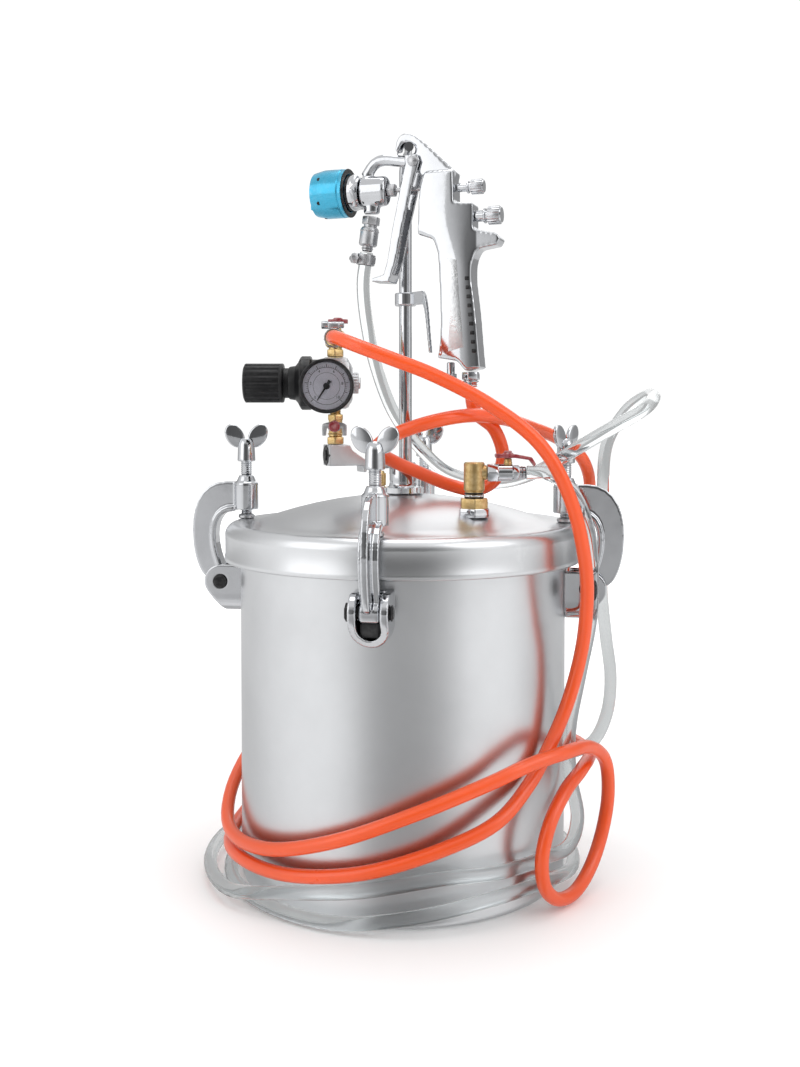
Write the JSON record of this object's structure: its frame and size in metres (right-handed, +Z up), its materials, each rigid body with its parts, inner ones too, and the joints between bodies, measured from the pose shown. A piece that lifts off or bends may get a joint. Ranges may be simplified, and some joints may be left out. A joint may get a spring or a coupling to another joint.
{
  "type": "paint pressure tank",
  "caption": "Lidded pressure tank held by swing clamps, with a regulator, gauge, outlet valve, air and fluid hoses and a spray gun hung on a rod.",
  "frame": {"origin": "centre of the tank's flat base", "axes": "+Z up along the tank axis, X and Y through the four lid clamps, -Y to the front clamp"},
  "size_m": [0.3646, 0.3382, 0.562],
  "materials": {
    "satin_shell": "satin, finely brushed round the axis",
    "chrome": "polished plating with soft wear on the edges",
    "steel": "bright zinc-plated",
    "silver_paint": "fine silver enamel",
    "brass": "lightly tarnished, machined",
    "black_plastic": "moulded, fine grain",
    "rubber": "matt",
    "blue_anodised": "blue anodised, turned",
    "red_handle": "dark red enamel, chipped at the edges",
    "dial": "printed scale",
    "black_paint": "semi-gloss",
    "lens": "clear",
    "orange_hose": "smooth extruded hose",
    "clear_hose": "translucent extruded hose"
  },
  "bodies": {
    "tank": {"tank_body": "satin_shell", "lid_gasket": "rubber", "clamp_bracket_right": "chrome", "clamp_bracket_rear": "chrome", "clamp_bracket_left": "chrome", "clamp_bracket_front": "chrome", "clamp_pin_right": "steel", "clamp_pin_rear": "steel", "clamp_pin_left": "steel", "clamp_pin_front": "steel"},
    "lid": {"lid": "satin_shell", "lid_hub": "chrome", "support_rod": "chrome", "gun_holder": "chrome", "air_arm": "silver_paint", "arm_plug": "black_plastic", "lower_valve": "brass", "regulator_body": "silver_paint", "regulator_bonnet": "black_plastic", "gauge_case": "black_paint", "gauge_dial": "dial", "gauge_lens": "lens", "upper_valve": "brass", "air_hose_clamp": "steel", "outlet_elbow": "brass", "outlet_valve": "chrome", "dip_tube": "steel", "safety_valve": "brass", "gun_body": "chrome", "trigger_pin": "steel", "fluid_needle": "steel", "fluid_nozzle": "chrome", "air_inlet": "chrome", "fluid_inlet": "chrome", "fluid_hose_clamp": "steel", "air_hose": "orange_hose", "fluid_hose": "clear_hose"},
    "clamp_right": {"clamp_arm_right": "chrome"},
    "screw_right": {"wing_screw_right": "chrome", "pressure_pad_right": "steel"},
    "clamp_rear": {"clamp_arm_rear": "chrome"},
    "screw_rear": {"wing_screw_rear": "chrome", "pressure_pad_rear": "steel"},
    "clamp_left": {"clamp_arm_left": "chrome"},
    "screw_left": {"wing_screw_left": "chrome", "pressure_pad_left": "steel"},
    "clamp_front": {"clamp_arm_front": "chrome"},
    "screw_front": {"wing_screw_front": "chrome", "pressure_pad_front": "steel"},
    "outlet_lever": {"outlet_lever": "red_handle"},
    "lower_handle": {"lower_valve_handle": "red_handle"},
    "upper_handle": {"upper_valve_handle": "red_handle"},
    "regulator_knob": {"regulator_knob": "black_plastic"},
    "gauge_needle": {"gauge_needle": "black_paint"},
    "gun_trigger": {"trigger": "chrome"},
    "fan_knob": {"fan_knob": "chrome"},
    "fluid_knob": {"fluid_knob": "chrome"},
    "air_screw": {"air_screw": "chrome"},
    "air_cap_set": {"cap_ring": "blue_anodised", "air_cap": "blue_anodised"}
  },
  "joints": [
    {"name": "lid_lift", "type": "slide", "parent": "tank", "child": "lid", "axis": [0, 0, 1], "range_m": [0, 0.026]},
    {"name": "clamp_swing_right", "type": "hinge", "parent": "tank", "child": "clamp_right", "pos_m": [0.143, 0, 0.222], "axis": [0, 1, 0], "range_deg": [0, 100]},
    {"name": "screw_turn_right", "type": "hinge", "parent": "clamp_right", "child": "screw_right", "pos_m": [0.125, 0, 0.31], "axis": [0, 0, 1], "range_deg": [0, 720]},
    {"name": "clamp_swing_rear", "type": "hinge", "parent": "tank", "child": "clamp_rear", "pos_m": [0, 0.143, 0.222], "axis": [-1, 0, 0], "range_deg": [0, 100]},
    {"name": "screw_turn_rear", "type": "hinge", "parent": "clamp_rear", "child": "screw_rear", "pos_m": [0, 0.125, 0.31], "axis": [0, 0, 1], "range_deg": [0, 720]},
    {"name": "clamp_swing_left", "type": "hinge", "parent": "tank", "child": "clamp_left", "pos_m": [-0.143, 0, 0.222], "axis": [0, -1, 0], "range_deg": [0, 100]},
    {"name": "screw_turn_left", "type": "hinge", "parent": "clamp_left", "child": "screw_left", "pos_m": [-0.125, 0, 0.31], "axis": [0, 0, 1], "range_deg": [0, 720]},
    {"name": "clamp_swing_front", "type": "hinge", "parent": "tank", "child": "clamp_front", "pos_m": [0, -0.143, 0.222], "axis": [1, 0, 0], "range_deg": [0, 100]},
    {"name": "screw_turn_front", "type": "hinge", "parent": "clamp_front", "child": "screw_front", "pos_m": [0, -0.125, 0.31], "axis": [0, 0, 1], "range_deg": [0, 720]},
    {"name": "outlet_lever_turn", "type": "hinge", "parent": "lid", "child": "outlet_lever", "pos_m": [0.08457, -0.05308, 0.322], "axis": [0, 0, 1], "range_deg": [-90, 0]},
    {"name": "lower_handle_turn", "type": "hinge", "parent": "lid", "child": "lower_handle", "pos_m": [-0.04586, -0.0382, 0.344], "axis": [0.1478, -0.989, 0], "range_deg": [0, 90]},
    {"name": "upper_handle_turn", "type": "hinge", "parent": "lid", "child": "upper_handle", "pos_m": [-0.04565, -0.02603, 0.424], "axis": [0, 0, 1], "range_deg": [0, 90]},
    {"name": "pressure_set", "type": "hinge", "parent": "lid", "child": "regulator_knob", "pos_m": [-0.09609, -0.03357, 0.3765], "axis": [0.989, 0.1478, 0], "range_deg": [-720, 720]},
    {"name": "needle_sweep", "type": "hinge", "parent": "lid", "child": "gauge_needle", "pos_m": [-0.0472, -0.05963, 0.3735], "axis": [-0.1478, 0.989, 0], "range_deg": [0, 270]},
    {"name": "trigger_pull", "type": "hinge", "parent": "lid", "child": "gun_trigger", "pos_m": [0.01403, -0.02395, 0.54], "axis": [-0.1994, -0.9799, 0], "range_deg": [0, 10], "stiffness_Nm_per_rad": 0.4, "springref_deg": -4.58},
    {"name": "cap_turn", "type": "hinge", "parent": "lid", "child": "air_cap_set", "pos_m": [-0.05162, -0.01059, 0.521], "axis": [0.9799, -0.1994, 0], "range_deg": [-90, 90]},
    {"name": "fan_set", "type": "hinge", "parent": "lid", "child": "fan_knob", "pos_m": [0.05715, -0.03272, 0.5195], "axis": [0.9799, -0.1994, 0], "range_deg": [-360, 360]},
    {"name": "fluid_set", "type": "hinge", "parent": "lid", "child": "fluid_knob", "pos_m": [0.06989, -0.03531, 0.498], "axis": [0.9799, -0.1994, 0], "range_deg": [-720, 720]},
    {"name": "air_set", "type": "hinge", "parent": "lid", "child": "air_screw", "pos_m": [0.04049, -0.02933, 0.385], "axis": [0, 0, 1], "range_deg": [0, 270]}
  ],
  "couplings": [
    {"joint": "clamp_swing_right", "follows": "lid_lift", "rad_per_m": 64.642},
    {"joint": "clamp_swing_rear", "follows": "lid_lift", "rad_per_m": 64.642},
    {"joint": "clamp_swing_left", "follows": "lid_lift", "rad_per_m": 64.642},
    {"joint": "clamp_swing_front", "follows": "lid_lift", "rad_per_m": 64.642}
  ]
}
